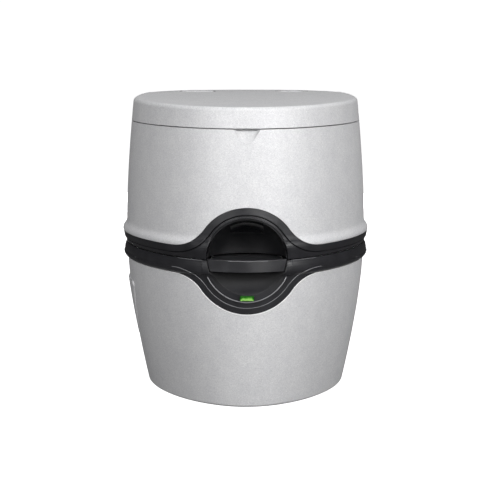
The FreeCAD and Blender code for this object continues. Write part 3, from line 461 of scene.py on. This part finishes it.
def rounded_slab(name, low, high, corner, rounding, finish):
    """A slab with rounded corners and softened edges, facing the front."""
    shape = bmesh.new()
    centre = (low + high) / 2
    size = high - low
    outline = []
    for cx, cz, turn in ((1, 1, 0), (-1, 1, 90), (-1, -1, 180), (1, -1, 270)):
        for step in range(CORNER_STEPS + 1):
            a = math.radians(turn + step * 90 / CORNER_STEPS)
            outline.append((centre.x + cx * (size.x / 2 - corner) + corner * math.cos(a),
                            centre.z + cz * (size.z / 2 - corner) + corner * math.sin(a)))
    face = shape.faces.new([shape.verts.new((x, high.y, z)) for x, z in outline])
    grown = bmesh.ops.extrude_face_region(shape, geom=[face])
    moved = [v for v in grown["geom"] if isinstance(v, bmesh.types.BMVert)]
    bmesh.ops.translate(shape, verts=moved, vec=(0, low.y - high.y, 0))
    bmesh.ops.recalc_face_normals(shape, faces=shape.faces)
    obj = from_shape(name, shape, finish)
    bevel = obj.modifiers.new("soft_edges", "BEVEL")
    bevel.width = rounding
    bevel.segments = 3
    bevel.angle_limit = math.radians(50)
    for polygon in obj.data.polygons:
        polygon.use_smooth = len(polygon.vertices) == 4
    return obj


lens_low, lens_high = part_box("level_window")
indicator = rounded_slab("indicator_lens", lens_low, lens_high, corner=0.0016, rounding=0.0006,
                         finish=lens_painted_light("indicator_painted_light", lens_low, lens_high))
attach(indicator, "root")
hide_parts("level_window")

# ---------------------------------------------------------------- ribbed pump knob
# (share of the radius, share of the height) from the middle of the foot to that of the top
KNOB_PROFILE = [(0.0, 0.0), (0.94, 0.0), (0.985, 0.04), (1.0, 0.12), (1.0, 0.72), (0.985, 0.86),
                (0.955, 0.95), (0.90, 1.0), (0.82, 1.0), (0.78, 0.95), (0.72, 0.91), (0.4, 0.90),
                (0.0, 0.90)]
RIBBED_FROM = 0.93                # share of the radius beyond which the ribs are cut
POINTS_PER_RIB = 8


def turned_knob(name, node, ribs, groove, finish):
    """A round knob with ribs round its side, a softened rim and a dished top."""
    low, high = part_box(node)
    centre = (low + high) / 2
    radius = (high.x - low.x) / 2
    tall = high.z - low.z
    around = ribs * POINTS_PER_RIB
    shape = bmesh.new()
    rings = []
    for share, height in KNOB_PROFILE:
        ring = []
        for i in range(around):
            a = 2 * math.pi * i / around
            notch = max(0.0, math.cos(ribs * a)) ** 3 * groove if share > RIBBED_FROM else 0.0
            r = max(share * radius - notch, 0.0)
            ring.append(shape.verts.new((centre.x + r * math.cos(a), centre.y + r * math.sin(a),
                                         low.z + tall * height)))
        rings.append(ring)
    for below, above in zip(rings, rings[1:]):
        joined_rings(shape, below, above)
    bmesh.ops.remove_doubles(shape, verts=shape.verts, dist=1e-6)
    bmesh.ops.recalc_face_normals(shape, faces=shape.faces)
    obj = from_shape(name, shape, finish)
    for polygon in obj.data.polygons:
        polygon.use_smooth = True
    return obj


knob = turned_knob("ribbed_pump_knob", "pump_knob", ribs=34, groove=0.0016,
                   finish=FINISH["pearl_silver"])
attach(knob, "pump")
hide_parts("pump_knob")

# ---------------------------------------------------------------- stage and lights
BOUNCE_FROM = (0.15, -0.6)        # height of a direction: just above level, well below it
BOUNCE_TO = (0.04, 0.11)          # strength of the surrounding light from each

world = bpy.data.worlds.new("studio")
bpy.context.scene.world = world
world.use_nodes = True
sky_tree = world.node_tree
sky = sky_tree.nodes["Background"]
sky.inputs["Color"].default_value = (1.0, 1.0, 1.0, 1.0)
direction = split(sky_tree, sky_tree.nodes.new("ShaderNodeTexCoord").outputs["Generated"])
sky_tree.links.new(map_range(sky_tree, direction["Z"], BOUNCE_FROM, BOUNCE_TO),
                   sky.inputs["Strength"])


def glowing(name, base, glow):
    """Plain matt paint that also gives off light, so that it stays white."""
    mat, tree, shader, where = material(name)
    shader.inputs["Base Color"].default_value = (base, base, base, 1.0)
    shader.inputs["Roughness"].default_value = 0.9
    shader.inputs["Specular IOR Level"].default_value = 0.0
    shader.inputs["Emission Color"].default_value = (1.0, 1.0, 1.0, 1.0)
    shader.inputs["Emission Strength"].default_value = glow
    return mat


def stage_mesh(name, build, paint):
    """A piece of the stage that the camera sees and that lights nothing."""
    shape = bmesh.new()
    build(shape)
    obj = from_shape(name, shape, paint)
    obj.visible_diffuse = False
    obj.visible_glossy = False
    obj.visible_transmission = False
    obj.visible_shadow = False


stage_mesh("studio_floor", lambda shape: bmesh.ops.create_circle(
    shape, cap_ends=True, segments=128, radius=40.0), glowing("floor_paint", 0.80, 1.0))
stage_mesh("studio_backdrop", lambda shape: bmesh.ops.create_uvsphere(
    shape, u_segments=64, v_segments=32, radius=45.0), glowing("backdrop_paint", 0.0, 1.05))

# name, place, point it faces, width and height, power
SOFTBOXES = [
    ("key", (1.6, -1.9, 1.2), (0, 0, 0.24), (1.2, 1.3), 52),
    ("fill", (-1.25, -2.1, 1.15), (0, 0, 0.24), (0.9, 1.2), 40),
    ("low", (0.7, -2.3, 0.12), (0.03, -0.2, 0.1), (0.8, 0.2), 7),
    ("side", (2.1, -1.1, 0.55), (0, 0, 0.24), (0.35, 0.9), 0.8),
    ("back", (0.1, 2.5, 0.25), (0, 0, 0.2), (1.0, 0.35), 18),
    ("top", (0, -0.2, 2.4), (0, 0, 0.2), (1.6, 1.6), 21),
]
for name, place, aim, size, power in SOFTBOXES:
    data = bpy.data.lights.new(name, "AREA")
    data.shape = "RECTANGLE"
    data.size, data.size_y = size
    data.energy = power
    light = placed(name, data)
    light.location = place
    light.rotation_euler = (Vector(aim) - Vector(place)).to_track_quat("-Z", "Y").to_euler()

# ---------------------------------------------------------------- camera
FOCAL_MM = 102.83
SENSOR_MM = 36.0
CAMERA_PLACE = (-0.0216, -2.182, 0.554)
CAMERA_DOWN = 8.89                # degrees below level
CAMERA_TURN = -0.545              # degrees about the vertical

camera_data = bpy.data.cameras.new("camera")
camera_data.lens = FOCAL_MM
camera_data.sensor_width = SENSOR_MM
camera_data.clip_end = 200.0
camera = placed("camera", camera_data)
camera.location = CAMERA_PLACE
camera.rotation_euler = (math.radians(90 - CAMERA_DOWN), 0.0, math.radians(CAMERA_TURN))
bpy.context.scene.camera = camera
bpy.context.scene.view_settings.view_transform = "Standard"
